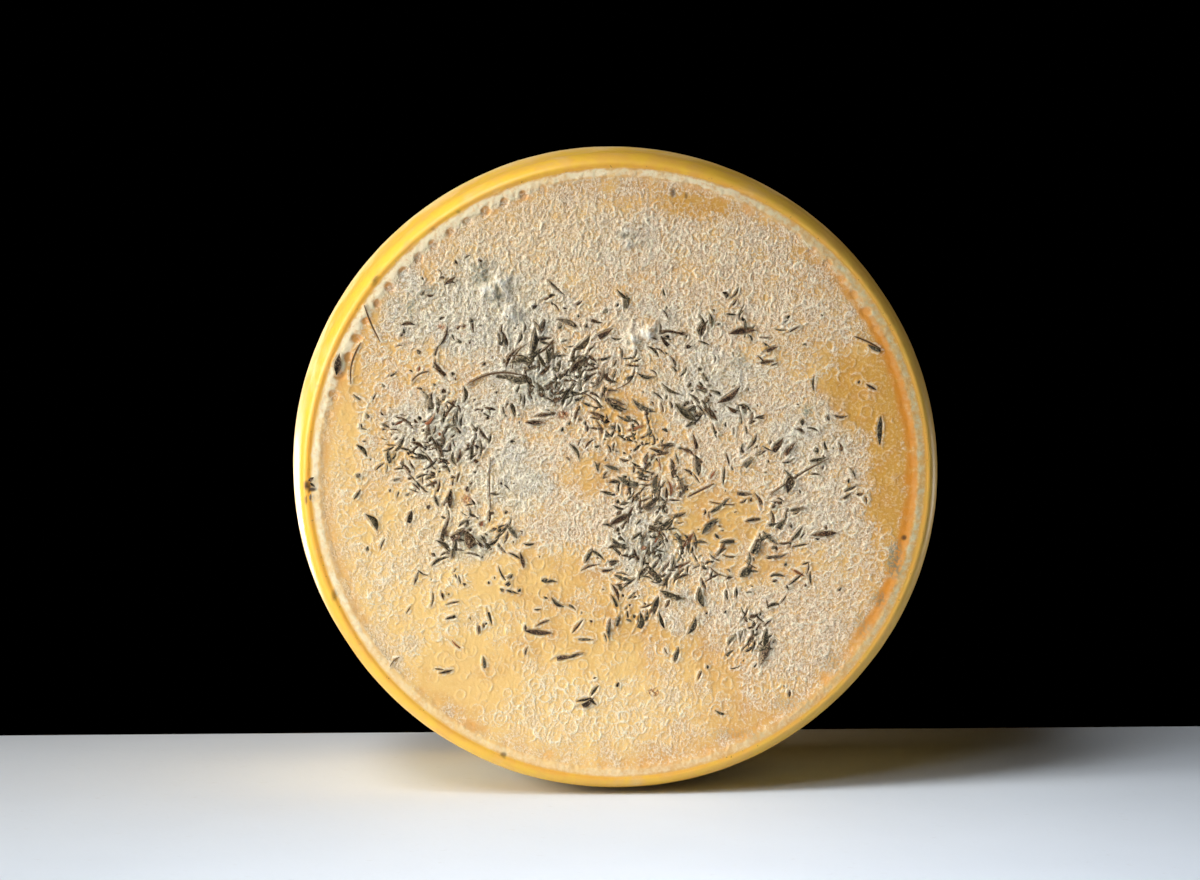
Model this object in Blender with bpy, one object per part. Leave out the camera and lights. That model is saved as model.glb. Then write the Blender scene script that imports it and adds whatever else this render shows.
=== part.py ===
"""A wheel of pecorino with chopped myrtle leaves pressed into both faces, standing on its edge.

Metres, +Z up. The wheel's axis lies along Y, and the shown face looks towards -Y.
The origin is under the middle of the wheel, on the small flat that its weight presses into the rind.
"""

import math
import random

import bmesh
import bpy
from mathutils import Vector, noise
from mathutils.bvhtree import BVHTree

MM = 0.001

# The wheel
RADIUS = 100 * MM
HALF_THICKNESS = 42.5 * MM
SAG = 0.004  # share by which the standing wheel is wider, and lower, than a true circle
FLAT_DEPTH = 1.2 * MM
CENTRE_HEIGHT = RADIUS * (1 - SAG) - FLAT_DEPTH

# Its side, which bulges a little, and the smooth round shoulder beside each face
SIDE_HALF = 30 * MM
BULGE = 2.2 * MM
SHOULDER_RADIUS = 94 * MM
SHOULDER_DROP = 0.4 * MM

# The print of the mould's lid: a thin raised ridge, a groove inside it and the face, a little lower
NOTCH_RADIUS = 93.3 * MM
NOTCH_DEPTH = 0.9 * MM
RIDGE_RADIUS = 92.1 * MM
RIDGE_HALF_WIDTH = 0.6 * MM
GROOVE_RADIUS = 89.3 * MM
GROOVE_HALF_WIDTH = 1.3 * MM
GROOVE_DEPTH = 1.3 * MM
FACE_RADIUS = 86.3 * MM
FACE_DROP = 0.8 * MM

# How fine the mesh is
SEGMENTS = 72
FIRST_TURN = math.radians(2.5)  # so that the flat below lies between two points of each ring
SIDE_ROWS = 3
SHOULDER_ROWS = 4
FACE_RINGS = ((77 * MM, 72), (66 * MM, 36), (54 * MM, 36), (42 * MM, 36), (28 * MM, 18), (13 * MM, 9))

# Gentle unevenness of the faces and of the side, which is calm where the wheel rests
FACE_WAVE = 0.35 * MM
FACE_WAVE_LENGTH = 24 * MM
SIDE_WAVE = 0.35 * MM
SIDE_WAVE_LENGTH = 45 * MM
CALM_BELOW = -0.9 * RADIUS
BACK_WAVE_OFFSET = 7.3

# Lumps of mould and rind on the shown face: across, up, radius and height, in millimetres
LUMP_SEGMENTS = 8
LUMP_SINK = 0.4 * MM
LUMPS = (
    (-37, 57, 7.0, 1.1),
    (-33, 49, 4.5, 1.0),
    (-42, 63, 5.0, 0.7),
    (9, 44, 4.5, 1.1),
    (4, 40, 3.5, 0.8),
    (2, 72, 6.0, 0.6),
    (-42, -21, 4.5, 0.9),
    (51, -3, 3.5, 0.6),
)

# Where the leaves lie on the shown face: across, up, spread across, spread up, count, main direction
# and its spread in degrees, and usual length. Places and lengths are in millimetres.
FRONT_CLUSTERS = (
    (-19, 30, 7, 6, 40, 35, 45, 4.8),
    (-26, 42, 8, 7, 22, 100, 30, 4.8),
    (-9, 30, 5, 7, 16, 40, 50, 4.4),
    (-22, 21, 10, 4, 18, 20, 60, 4.0),
    (-53, 16, 4, 7, 22, 105, 30, 4.4),
    (-49, 10, 7, 4, 24, 120, 50, 4.4),
    (-64, 8, 7, 7, 28, 60, 90, 4.0),
    (-58, 0, 8, 3, 14, 150, 50, 4.2),
    (-46, -16, 8, 6, 18, 70, 60, 4.2),
    (-42, -21, 3, 2, 9, 140, 40, 4.6),
    (-66, 51, 9, 5, 12, 60, 80, 3.8),
    (-73, 31, 7, 8, 10, 110, 60, 3.8),
    (-84, 11, 2, 9, 6, 90, 60, 3.2),
    (-53, 63, 9, 4, 6, 60, 60, 3.4),
    (4, 11, 7, 4, 22, 110, 60, 4.0),
    (6, -1, 8, 5, 22, 100, 50, 4.2),
    (8, -10, 5, 4, 14, 50, 40, 4.6),
    (12, -25, 9, 6, 34, 40, 60, 4.2),
    (0, -23, 8, 4, 12, 30, 40, 4.2),
    (23, -28, 4, 6, 14, 110, 40, 4.0),
    (6, -43, 7, 5, 9, 80, 40, 4.4),
    (22, 22, 7, 5, 16, 125, 30, 4.4),
    (15, 36, 9, 4, 12, 120, 50, 3.6),
    (28, 11, 9, 8, 20, 70, 60, 4.2),
    (26, -1, 8, 5, 14, 100, 50, 4.2),
    (36, -16, 10, 7, 16, 60, 60, 4.0),
    (48, -22, 7, 8, 16, 50, 50, 4.2),
    (53, 11, 8, 4, 12, 60, 40, 4.4),
    (53, -2, 7, 5, 10, 60, 60, 4.4),
    (41, -49, 3, 5, 20, 65, 35, 4.0),
    (36, 42, 9, 5, 8, 20, 50, 3.6),
    (7, 51, 11, 5, 8, 110, 40, 3.6),
    (50, 42, 7, 3, 5, 40, 40, 3.4),
    (-5, -46, 36, 15, 26, 90, 90, 3.8),
    (-53, -31, 15, 11, 12, 70, 90, 3.8),
    (72, 5, 9, 19, 8, 90, 90, 3.6),
    (0, 0, 40, 40, 16, 90, 90, 3.4),
)
FRONT_SEED = 11

# Single leaves that stand out on the shown face: across, up, length, width, direction and bend
FRONT_LEAVES = (
    (37.1, 43.2, 8.5, 2.6, 8, 0.05),
    (79.0, 13.1, 9.1, 2.4, 88, 0.03),
    (-29.2, 34.3, 7.9, 2.4, 5, 0.10),
    (51.4, -3.0, 6.2, 3.4, 80, 0.0),
    (-74.8, -14.3, 6.3, 2.3, 125, -0.15),
    (0.4, -13.9, 8.2, 2.1, 27, 0.04),
    (8.6, -9.6, 8.0, 2.2, 42, -0.05),
    (-17.6, -56.5, 7.3, 1.8, 12, 0.06),
    (-44.4, -20.4, 7.6, 3.6, 125, 0.10),
    (77.4, 38.2, 5.4, 1.5, 155, 0.05),
    (5.0, -45.4, 7.6, 2.2, 72, -0.22),
    (11.2, -40.2, 5.8, 2.0, 75, 0.05),
    (21.9, -46.5, 6.0, 1.9, 65, -0.12),
    (47.7, 8.3, 6.4, 2.2, 55, 0.0),
    (38.9, 2.7, 6.2, 2.0, 50, 0.08),
    (27.4, -16.0, 7.0, 2.0, 45, 0.05),
    (49.2, -16.2, 5.8, 1.9, 60, 0.1),
    (-63.2, -13.1, 4.8, 1.8, 75, 0.0),
    (38.3, -30.1, 4.8, 3.2, 40, 0.0),
    (20.0, 19.0, 8.4, 2.6, 140, 0.06),
    (33.0, 24.3, 8.6, 2.2, 36, -0.10),
    (-55.6, 21.6, 7.6, 2.4, 100, 0.2),
    (-26.0, 40.5, 8.6, 2.4, 82, -0.06),
    (-12.1, 33.0, 7.6, 2.3, 38, 0.08),
    (-30.5, 29.6, 8.6, 2.4, 170, 0.12),
    (25.0, -37.7, 6.2, 2.1, 100, 0.1),
    (23.4, 2.6, 6.4, 2.4, 100, -0.04),
    (45.4, 37.6, 5.6, 1.5, 25, 0.05),
)
FRONT_RAISED = 80

# The hidden face has as many leaves in clusters of its own
BACK_SEED = 29
BACK_CLUSTERS = 22
BACK_REACH = 60  # the furthest that a cluster lies from the middle, in millimetres
BACK_RAISED = 68

# A chopped leaf, as it stands out of the rind
LEAF_LENGTHS = (2.2 * MM, 8.6 * MM)
LEAF_SLIMNESS = (0.24, 0.42)  # its width as a share of its length
LEAF_HEIGHT = 0.7 * MM
LEAF_SINK = 0.45 * MM
LEAF_STATIONS = (0.22, 0.5, 0.78)
LEAVES_WITHIN = 84 * MM

RIND_COLOUR = (0.72, 0.47, 0.20, 1)
RIND_ROUGHNESS = 0.55
LEAF_COLOUR = (0.05, 0.05, 0.035, 1)
LEAF_ROUGHNESS = 0.6


def smoothstep(low, high, value):
    share = min(1.0, max(0.0, (value - low) / (high - low)))
    return share * share * (3 - 2 * share)


def half_profile():
    """(radius, depth) from the middle of the side to the edge of the face. Depth runs along the axis."""
    rows = []
    for i in range(SIDE_ROWS + 1):
        share = i / SIDE_ROWS
        rows.append((RADIUS - BULGE * share**2, SIDE_HALF * share))
    shoulder_width = RADIUS - BULGE - SHOULDER_RADIUS
    shoulder_depth = HALF_THICKNESS - SHOULDER_DROP - SIDE_HALF
    for i in range(1, SHOULDER_ROWS + 1):
        turn = math.pi / 2 * i / SHOULDER_ROWS
        radius = SHOULDER_RADIUS + shoulder_width * math.cos(turn)
        rows.append((radius, SIDE_HALF + shoulder_depth * math.sin(turn)))
    rows.append((NOTCH_RADIUS, HALF_THICKNESS - NOTCH_DEPTH))
    rows.append((RIDGE_RADIUS + RIDGE_HALF_WIDTH, HALF_THICKNESS))
    rows.append((RIDGE_RADIUS - RIDGE_HALF_WIDTH, HALF_THICKNESS))
    rows.append((GROOVE_RADIUS + GROOVE_HALF_WIDTH, HALF_THICKNESS - GROOVE_DEPTH))
    rows.append((GROOVE_RADIUS - GROOVE_HALF_WIDTH, HALF_THICKNESS - GROOVE_DEPTH))
    rows.append((FACE_RADIUS, HALF_THICKNESS - FACE_DROP))
    return rows


def face_wave(across, up, front):
    """How far the face stands above its plane, away from its edge, where it is flat."""
    offset = 0.0 if front else BACK_WAVE_OFFSET
    here = Vector((across / FACE_WAVE_LENGTH, up / FACE_WAVE_LENGTH, offset))
    calm = smoothstep(0.9 * FACE_RADIUS, FACE_RADIUS, math.hypot(across, up))
    return FACE_WAVE * noise.noise(here) * (1 - calm)


def side_wave(across, side, up):
    here = Vector((across, side, up)) / SIDE_WAVE_LENGTH
    return SIDE_WAVE * noise.noise(here) * smoothstep(-RADIUS, CALM_BELOW, up)


def lump_height(across, up):
    """How far the lumps of the shown face stand above the rest of it."""
    heights = [0.0]
    for lump_across, lump_up, radius, height in LUMPS:
        distance = math.hypot(across / MM - lump_across, up / MM - lump_up)
        heights.append(height * MM * (1 - smoothstep(0, radius, distance)))
    return max(heights)


def placed(across, up, depth, front):
    """A point of one half of the wheel, from its place on the face and its depth from the middle."""
    height = CENTRE_HEIGHT + up * (1 - SAG)
    return Vector((across * (1 + SAG), -depth if front else depth, max(0.0, height)))


def ring(mesh, radius, depth, count, front):
    """A ring of points round the axis, at the same angles on every ring."""
    points = []
    for i in range(count):
        turn = FIRST_TURN + 2 * math.pi * i / count
        across, up = radius * math.cos(turn), radius * math.sin(turn)
        raised = face_wave(across, up, front)
        if radius > SHOULDER_RADIUS:
            swell = 1 + side_wave(across, -depth if front else depth, up) / radius
            across, up = across * swell, up * swell
        points.append(mesh.verts.new(placed(across, up, depth + raised, front)))
    return points


def bridge(mesh, outer, inner):
    """Faces between two rings. The inner one has as many points as the outer, or half as many."""
    halved = len(outer) == 2 * len(inner)
    for i in range(len(inner)):
        j = (i + 1) % len(inner)
        if halved:
            first, middle, last = (outer[(2 * i + k) % len(outer)] for k in range(3))
            mesh.faces.new((first, middle, inner[i]))
            mesh.faces.new((middle, inner[j], inner[i]))
            mesh.faces.new((middle, last, inner[j]))
        else:
            mesh.faces.new((outer[i], outer[j], inner[j], inner[i]))


def plain_material(name, colour, roughness):
    material = bpy.data.materials.new(name)
    material.use_nodes = True
    shader = material.node_tree.nodes["Principled BSDF"]
    shader.inputs["Base Color"].default_value = colour
    shader.inputs["Roughness"].default_value = roughness
    shader.inputs["Metallic"].default_value = 0.0
    return material


def add_object(name, mesh, material):
    data = bpy.data.meshes.new(name)
    mesh.to_mesh(data)
    mesh.free()
    data.materials.append(material)
    return bpy.data.objects.new(name, data)


def wheel_object(rind):
    """The turned wheel with its two faces, as one closed mesh."""
    mesh = bmesh.new()
    middle = ring(mesh, *half_profile()[0], SEGMENTS, True)
    for front in (True, False):
        outer = middle
        for radius, depth in half_profile()[1:]:
            inner = ring(mesh, radius, depth, SEGMENTS, front)
            bridge(mesh, outer, inner)
            outer = inner
        for radius, count in FACE_RINGS:
            inner = ring(mesh, radius, HALF_THICKNESS - FACE_DROP, count, front)
            bridge(mesh, outer, inner)
            outer = inner
        centre = HALF_THICKNESS - FACE_DROP + face_wave(0, 0, front)
        centre_point = mesh.verts.new(placed(0, 0, centre, front))
        for i, point in enumerate(outer):
            mesh.faces.new((point, outer[(i + 1) % len(outer)], centre_point))
    bmesh.ops.recalc_face_normals(mesh, faces=mesh.faces)
    return add_object("pecorino_wheel", mesh, rind)


def back_clusters():
    """Clusters like those of the shown face, at places drawn for the hidden one."""
    draw = random.Random(BACK_SEED)
    clusters = []
    for _ in range(BACK_CLUSTERS):
        reach = BACK_REACH * math.sqrt(draw.random())
        turn = draw.uniform(0, 2 * math.pi)
        spread = draw.uniform(4, 13)
        count = draw.randint(10, 28)
        direction = draw.uniform(0, 180)
        length = draw.uniform(3.6, 4.8)
        across, up = reach * math.cos(turn), reach * math.sin(turn)
        clusters.append((across, up, spread, spread, count, direction, 55, length))
    return clusters


def scattered_leaves(clusters, seed):
    """The leaves of some clusters, the longest first, as (across, up, length, width, direction, bend)."""
    draw = random.Random(seed)
    leaves = []
    for across, up, spread_across, spread_up, count, direction, turned, usual in clusters:
        for _ in range(count):
            leaf_across = draw.gauss(across, spread_across) * MM
            leaf_up = draw.gauss(up, spread_up) * MM
            length = draw.lognormvariate(math.log(usual), 0.32) * MM
            length = min(LEAF_LENGTHS[1], max(LEAF_LENGTHS[0], length))
            width = length * draw.uniform(*LEAF_SLIMNESS)
            angle = math.radians(draw.gauss(direction, turned))
            bend = draw.uniform(-0.22, 0.22)
            if math.hypot(leaf_across, leaf_up) + length / 2 < LEAVES_WITHIN:
                leaves.append((leaf_across, leaf_up, length, width, angle, bend))
    return sorted(leaves, key=lambda leaf: -leaf[2])


def single_leaves():
    leaves = []
    for across, up, length, width, direction, bend in FRONT_LEAVES:
        place = (across * MM, up * MM, length * MM, width * MM)
        leaves.append((*place, math.radians(direction), bend))
    return leaves


def on_face(surface, across, up, raised, front):
    """A point that stands so far above the modelled face, lumps included."""
    start = placed(across, up, 2 * HALF_THICKNESS, front)
    hit = surface.ray_cast(start, Vector((0, 1 if front else -1, 0)))[0]
    lump = lump_height(across, up) if front else 0.0
    return placed(across, up, abs(hit.y) + lump + raised, front)


def lump_object(name, lump, surface, rind):
    """A low round dome, whose skirt and underside are sunk in the rind."""
    across, up, radius, _ = (value * MM for value in lump)
    mesh = bmesh.new()
    rings = []
    for share, raised in ((1.0, -LUMP_SINK), (0.85, 0.0), (0.45, 0.0)):
        points = []
        for i in range(LUMP_SEGMENTS):
            turn = 2 * math.pi * i / LUMP_SEGMENTS
            reach = share * radius * (1 + 0.15 * math.sin(3 * turn + lump[0]))
            x, z = across + reach * math.cos(turn), up + reach * math.sin(turn)
            points.append(mesh.verts.new(on_face(surface, x, z, raised, True)))
        rings.append(points)
    top = mesh.verts.new(on_face(surface, across, up, 0.0, True))
    for outer, inner in zip(rings, rings[1:]):
        bridge(mesh, outer, inner)
    for i, point in enumerate(rings[-1]):
        mesh.faces.new((point, rings[-1][(i + 1) % LUMP_SEGMENTS], top))
    mesh.faces.new(rings[0])
    bmesh.ops.triangulate(mesh, faces=mesh.faces)
    bmesh.ops.recalc_face_normals(mesh, faces=mesh.faces)
    return add_object(name, mesh, rind)


def leaf_object(name, leaf, surface, front, green):
    """One leaf as a thin wavy solid, half sunk in the rind, with both faces split alike."""
    across, up, length, width, angle, bend = leaf
    mesh = bmesh.new()

    def point(along, beside, raised):
        beside += bend * length * math.sin(math.pi * (along / length + 0.5))
        x = across + along * math.cos(angle) - beside * math.sin(angle)
        z = up + along * math.sin(angle) + beside * math.cos(angle)
        return mesh.verts.new(on_face(surface, x, z, raised, front))

    edge = -0.3 * LEAF_SINK
    start, end = (point(share * length, 0, edge) for share in (-0.5, 0.5))
    stations = []
    for i, share in enumerate(LEAF_STATIONS):
        along = (share - 0.5) * length
        half = width / 2 * math.sin(math.pi * share)
        wave = 1 + 0.2 * math.cos(2.4 * i + 9 * bend)
        left, right = (point(along, side * half, edge) for side in (1, -1))
        top, bottom = (point(along, 0, height) for height in (LEAF_HEIGHT * wave, -LEAF_SINK))
        stations.append((left, top, right, bottom))
    for k in range(4):
        a, b = k, (k + 1) % 4
        mesh.faces.new((start, stations[0][a], stations[0][b]))
        mesh.faces.new((end, stations[-1][b], stations[-1][a]))
        for near, far in zip(stations, stations[1:]):
            mesh.faces.new((near[a], far[a], far[b]))
            mesh.faces.new((near[a], far[b], near[b]))
    bmesh.ops.recalc_face_normals(mesh, faces=mesh.faces)
    return add_object(name, mesh, green)


def add_relief(wheel, rind, green):
    """Joins the lumps, and the longest leaves of both faces, to the wheel with one union."""
    relief = bpy.data.collections.new("relief")
    bpy.context.scene.collection.children.link(relief)
    bpy.context.view_layer.update()
    surface = BVHTree.FromObject(wheel, bpy.context.evaluated_depsgraph_get())
    for i, lump in enumerate(LUMPS):
        relief.objects.link(lump_object(f"lump_{i}", lump, surface, rind))
    front = single_leaves() + scattered_leaves(FRONT_CLUSTERS, FRONT_SEED)[:FRONT_RAISED]
    back = scattered_leaves(back_clusters(), BACK_SEED)[:BACK_RAISED]
    for i, leaf in enumerate(front):
        relief.objects.link(leaf_object(f"front_leaf_{i}", leaf, surface, True, green))
    for i, leaf in enumerate(back):
        relief.objects.link(leaf_object(f"back_leaf_{i}", leaf, surface, False, green))
    union = wheel.modifiers.new("relief", "BOOLEAN")
    union.operation = "UNION"
    union.operand_type = "COLLECTION"
    union.collection = relief
    union.solver = "EXACT"
    union.material_mode = "TRANSFER"
    bpy.context.view_layer.update()
    fused = bpy.data.meshes.new_from_object(
        wheel.evaluated_get(bpy.context.evaluated_depsgraph_get())
    )
    wheel.modifiers.clear()
    wheel.data = fused
    for piece in list(relief.objects):
        bpy.data.objects.remove(piece)
    bpy.data.collections.remove(relief)


def keep_outer_shell(wheel):
    """Drops loose scraps and fills sealed hollows: only the shell with the most faces stays."""
    mesh = bmesh.new()
    mesh.from_mesh(wheel.data)
    unseen = set(mesh.verts)
    shells = []
    while unseen:
        shell = {unseen.pop()}
        waiting = list(shell)
        while waiting:
            vertex = waiting.pop()
            fresh = {edge.other_vert(vertex) for edge in vertex.link_edges} & unseen
            unseen -= fresh
            shell |= fresh
            waiting += fresh
        shells.append(shell)
    largest = max(shells, key=len)
    scraps = [v for v in mesh.verts if v not in largest]
    bmesh.ops.delete(mesh, geom=scraps, context="VERTS")
    mesh.to_mesh(wheel.data)
    mesh.free()


def stand_on_origin(wheel):
    """Moves the mesh, so that the origin is under the middle of its box."""
    points = [v.co for v in wheel.data.vertices]
    low, high = (Vector([pick(p[k] for p in points) for k in range(3)]) for pick in (min, max))
    shift = Vector((-(low.x + high.x) / 2, -(low.y + high.y) / 2, -low.z))
    for vertex in wheel.data.vertices:
        vertex.co += shift


def main():
    for old in list(bpy.data.objects):
        bpy.data.objects.remove(old)
    rind = plain_material("rind", RIND_COLOUR, RIND_ROUGHNESS)
    green = plain_material("myrtle_leaf", LEAF_COLOUR, LEAF_ROUGHNESS)
    wheel = wheel_object(rind)
    bpy.context.scene.collection.objects.link(wheel)
    add_relief(wheel, rind, green)
    keep_outer_shell(wheel)
    stand_on_origin(wheel)
    wheel.data.shade_smooth()
    wheel.data.set_sharp_from_angle(angle=math.radians(40))


main()
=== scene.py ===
"""The finished look of a myrtle pecorino wheel that stands on its edge.

Metres, +Z up. The wheel's axis lies along Y, and the shown face looks towards -Y.
On either face, `across` and `up` are measured in millimetres from its middle, as on the CAD solid.
"""

import math
import random

import bmesh
import bpy
import numpy as np
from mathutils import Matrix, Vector, noise


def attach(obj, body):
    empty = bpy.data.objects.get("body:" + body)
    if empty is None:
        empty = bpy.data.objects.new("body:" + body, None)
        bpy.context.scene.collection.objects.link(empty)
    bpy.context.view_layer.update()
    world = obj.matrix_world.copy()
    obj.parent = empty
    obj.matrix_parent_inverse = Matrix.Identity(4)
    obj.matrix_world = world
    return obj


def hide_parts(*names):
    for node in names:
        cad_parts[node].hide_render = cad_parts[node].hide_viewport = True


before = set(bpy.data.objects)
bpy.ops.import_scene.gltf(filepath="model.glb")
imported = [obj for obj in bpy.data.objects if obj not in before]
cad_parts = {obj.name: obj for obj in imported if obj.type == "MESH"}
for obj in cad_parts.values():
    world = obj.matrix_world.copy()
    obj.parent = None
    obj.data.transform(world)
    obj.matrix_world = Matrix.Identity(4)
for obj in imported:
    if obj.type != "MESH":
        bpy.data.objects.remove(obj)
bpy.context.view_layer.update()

NODE = "pecorino_wheel"
MM = 0.001

# The wheel, as in the CAD model, in millimetres
RADIUS = 100.0
HALF_THICKNESS = 42.5
SAG = 0.004
CENTRE_HEIGHT = RADIUS * (1 - SAG) - 1.2
SIDE_HALF = 30.0
BULGE = 2.2
SHOULDER_RADIUS = 94.0
SHOULDER_DROP = 0.4
NOTCH_RADIUS = 93.3
FACE_RADIUS = 86.3
PIT_RADIUS = 89.3
PIT_SIZE = 1.5
PITS = 91
CRESCENTS = 4200

# The face from its middle to the shoulder: radius and height over half the wheel's thickness
LID_PRINT = (
    (0, -0.62), (84, -0.62), (88.5, -0.62), (89.3, -0.52), (90.2, -0.36), (91.0, -0.33), (92.0, -0.4),
    (92.7, -0.46), (93.3, -0.42), (95, -0.4),
)

# Cells across the mesh of each face, and how far its pieces reach inwards
FRONT_CELLS = 500
BACK_CELLS = 280
BACKING = 4

# The raster on which the relief and the colour zones of a face are worked out
CELL = 0.2
REACH = 95.0
CELLS = int(2 * REACH / CELL) + 1
AXIS = np.linspace(-REACH, REACH, CELLS)
ACROSS, UP = np.meshgrid(AXIS, AXIS)
RADIAL = np.hypot(ACROSS, UP)
TURN = np.degrees(np.arctan2(UP, ACROSS))


# Numbers and noise

def smooth(low, high, value):
    share = np.clip((value - low) / (high - low), 0, 1)
    return share * share * (3 - 2 * share)


def at(reach, turn):
    return reach * math.cos(turn), reach * math.sin(turn)


def gradient_noise(x, y, seed):
    """Perlin noise from -1 to 1 on arrays of places."""
    turns = np.random.default_rng(seed).uniform(0, 2 * math.pi, (128, 128))
    i, j = np.floor(x).astype(int), np.floor(y).astype(int)
    fx, fy = x - i, y - j

    def corner(di, dj):
        turn = turns[(i + di) % 128, (j + dj) % 128]
        return np.cos(turn) * (fx - di) + np.sin(turn) * (fy - dj)

    sx, sy = (f**3 * (f * (6 * f - 15) + 10) for f in (fx, fy))
    low = corner(0, 0) * (1 - sx) + corner(1, 0) * sx
    high = corner(0, 1) * (1 - sx) + corner(1, 1) * sx
    return 1.4 * (low * (1 - sy) + high * sy)


def fractal(length, octaves, seed):
    """Noise of several octaves, the largest of them with that wave length in millimetres."""
    total, weight = 0, 0
    for k in range(octaves):
        share, finer = 0.5**k, 2**k
        total = total + share * gradient_noise(ACROSS * finer / length, UP * finer / length, seed + k)
        weight += share
    return total / weight


def blurred(raster, cells):
    """The raster after two box blurs of that half width."""
    width = 2 * cells + 1
    for _ in range(2):
        for axis in (0, 1):
            padded = np.pad(raster, [(cells + 1, cells) if a == axis else (0, 0) for a in (0, 1)], "edge")
            sums = np.cumsum(padded, axis=axis)
            later, earlier = (np.take(sums, range(s, s + CELLS), axis=axis) for s in (width, 0))
            raster = (later - earlier) / width
    return raster


def sampled(raster, across, up):
    """The raster's value at any places, between its cells."""
    x = np.clip((np.asarray(across) + REACH) / CELL, 0, CELLS - 1.001)
    y = np.clip((np.asarray(up) + REACH) / CELL, 0, CELLS - 1.001)
    i, j = x.astype(int), y.astype(int)
    fx, fy = x - i, y - j
    low = raster[j, i] * (1 - fx) + raster[j, i + 1] * fx
    high = raster[j + 1, i] * (1 - fx) + raster[j + 1, i + 1] * fx
    return low * (1 - fy) + high * fy


# Where each look lies on the shown face: across, up, reach across, reach up and strength
BARE_ZONES = (
    (76, 25, 18, 16, 1.0), (81, 0, 6, 26, 0.9), (-30, -33, 26, 10, 0.8), (-46, -61, 20, 14, 0.95),
    (-10, -50, 30, 17, 0.6), (27, -60, 16, 13, 0.6), (-1, 21, 12, 9, 0.8), (6, 11, 12, 8, 0.6),
    (31, -14, 15, 11, 0.75), (21, 81, 14, 4, 0.8), (-74, 58, 6, 14, 0.7), (-81, 26, 4, 24, 0.8),
    (34, -74, 11, 7, 0.5), (49, -27, 17, 9, 0.5), (2, 82, 10, 3, 0.5), (-8, 1, 9, 8, 0.5),
    (60, 60, 12, 10, 0.35), (-60, -40, 14, 12, 0.5), (15, 30, 12, 8, 0.45), (-72, -8, 10, 20, 0.4),
)
GREY_ZONES = (
    (-39, 50, 24, 19, 1.0), (-24, 29, 20, 13, 1.0), (-51, 14, 22, 14, 0.9), (-33, -1, 14, 13, 0.95),
    (27, 27, 19, 14, 0.8), (58, 12, 16, 15, 0.6), (-61, 51, 14, 14, 0.8), (8, -22, 12, 14, 0.8),
    (2, 70, 18, 12, 0.4), (-46, -20, 10, 8, 0.8), (40, -49, 9, 10, 0.4), (14, 44, 22, 12, 0.5),
    (60, -12, 12, 14, 0.4), (20, -42, 12, 9, 0.5),
)
PALE_ZONES = (
    (-10, 72, 60, 18, 0.9), (46, 60, 38, 22, 0.8), (60, -8, 22, 24, 0.9), (48, -46, 30, 20, 0.9),
    (-12, -14, 22, 10, 0.9), (-60, -20, 18, 22, 0.6), (20, -64, 9, 9, 0.8), (-68, -50, 12, 16, 0.6),
    (0, 45, 60, 30, 0.7), (-30, 10, 40, 20, 0.6), (40, 14, 30, 20, 0.7), (-70, -4, 12, 14, 0.5),
)
BLUE_ZONES = (
    (-42.5, 61, 3, 5, 0.8), (-38, 54, 3, 4, 0.5), (-62.6, 51, 1.6, 3, 1.0), (-57, 56, 3, 2, 0.5),
    (57, 19, 1.8, 2.2, 1.0), (83.5, -26, 3, 6, 1.0), (79, -39, 2.5, 3, 0.7), (74, -47, 3, 4, 0.4),
    (65, -58, 5, 3, 0.35), (52, -71, 6, 3, 0.35), (36, -80, 8, 2, 0.3),
    (36, 34, 4, 3, 0.4), (-24, 26, 8, 5, 0.5), (-52, 14, 5, 6, 0.45),
    (9, -24, 7, 6, 0.5), (-45, -21, 3, 3, 0.6), (51, -4, 2, 3, 0.6),
)
DEEP_ZONES = (
    (78, 22, 24, 26, 1.0), (84, -6, 14, 36, 1.0), (21, 81, 18, 8, 0.8), (-80, 30, 8, 30, 0.4),
    (60, 62, 14, 12, 0.6), (-5, -48, 26, 12, 0.35), (30, -16, 16, 10, 0.3), (0, 18, 10, 8, 0.5),
)
# Painted light: lighter patches, mostly on the lower left, that stand in for light falling there rather
# than a colour of the rind
PAINTED_LIGHT_ZONES = (
    (-58, -36, 42, 46, 1.0), (-16, -70, 44, 22, 1.0), (-86, 0, 14, 50, 0.8), (-30, 68, 34, 22, 0.5),
)
RUST_ZONES = (
    (-17, 18.2, 2, 1.6, 1.0), (-46, -7.5, 1.8, 1.8, 0.9), (10.3, -67, 2.2, 1.6, 1.0),
    (-53.5, 45, 1.6, 1, 0.8), (16, 2, 1.5, 1, 0.6), (-4, 25, 2, 1.2, 0.5), (2, -4, 2, 1.5, 0.5),
)
DARK_ZONES = (
    (-94.2, -3.2, 1.6, 1.6, 1.0), (-92.6, -4.2, 1.6, 0.8, 1.0), (-94.5, -7.6, 0.7, 1.8, 1.0),
    (-91.0, 27.5, 0.7, 0.7, 0.9), (-86.0, -36.6, 1.0, 2.2, 0.5), (-35.2, -85.8, 1.2, 1.0, 0.7),
    (-73.5, 60, 1.2, 3.0, 0.7), (-56, 74.5, 1.0, 0.5, 0.5), (-48.3, 79.6, 0.8, 0.5, 0.5),
    (86.5, -19.8, 0.9, 0.9, 0.9), (16, 85.3, 0.8, 1.6, 0.8), (20, 84.5, 0.6, 1.2, 0.6),
)

# Lumps of mould and rind, as on the CAD model: across, up, radius and height
LUMPS = (
    (-37, 57, 7.0, 1.1),
    (-33, 49, 4.5, 1.0),
    (-42, 63, 5.0, 0.7),
    (9, 44, 4.5, 1.1),
    (4, 40, 3.5, 0.8),
    (2, 72, 6.0, 0.6),
    (-42, -21, 4.5, 0.9),
    (51, -3, 3.5, 0.6),
)

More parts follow.
